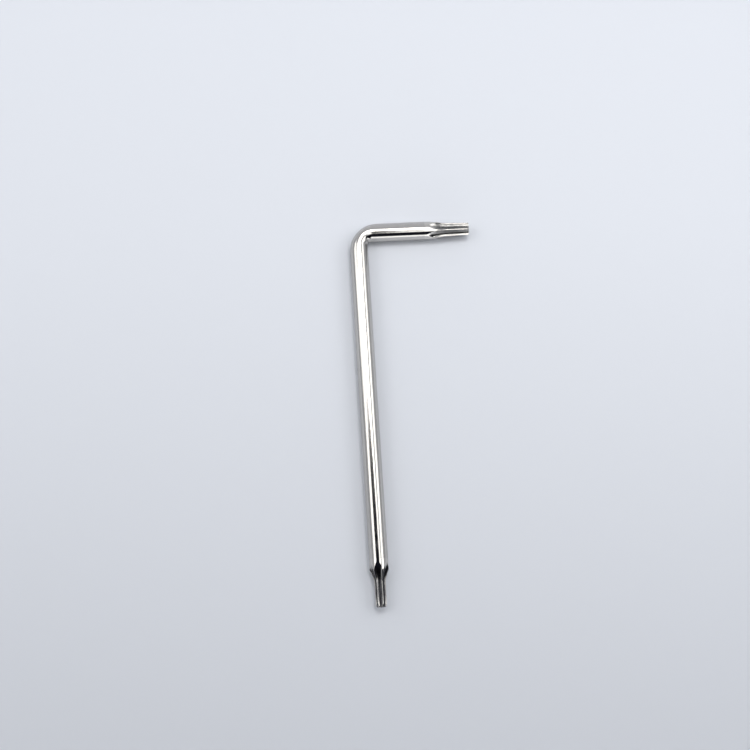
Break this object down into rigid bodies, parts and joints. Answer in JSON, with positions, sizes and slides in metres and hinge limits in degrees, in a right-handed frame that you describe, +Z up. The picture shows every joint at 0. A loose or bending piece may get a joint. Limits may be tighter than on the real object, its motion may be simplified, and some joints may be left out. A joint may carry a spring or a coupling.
{
  "type": "six-lobe l-key",
  "caption": "L-shaped key of bright nickel-plated round steel rod, bent once at a right angle, with a star tip on each arm for turning star-socket screws.",
  "frame": {"origin": "below the middle of the key's box, on the surface that the key lies on", "axes": "+Y along the long arm from its star towards the bend, +X along the short arm from the bend towards its star, +Z up, square to both arms"},
  "size_m": [0.02, 0.063, 0.003],
  "materials": {
    "nickel_plate": "bright nickel plate on steel, with faint draw lines along the rod"
  },
  "bodies": {
    "root": {"long_arm": "nickel_plate", "bend": "nickel_plate", "short_arm": "nickel_plate", "long_arm_star_tip": "nickel_plate", "short_arm_star_tip": "nickel_plate"}
  },
  "joints": []
}
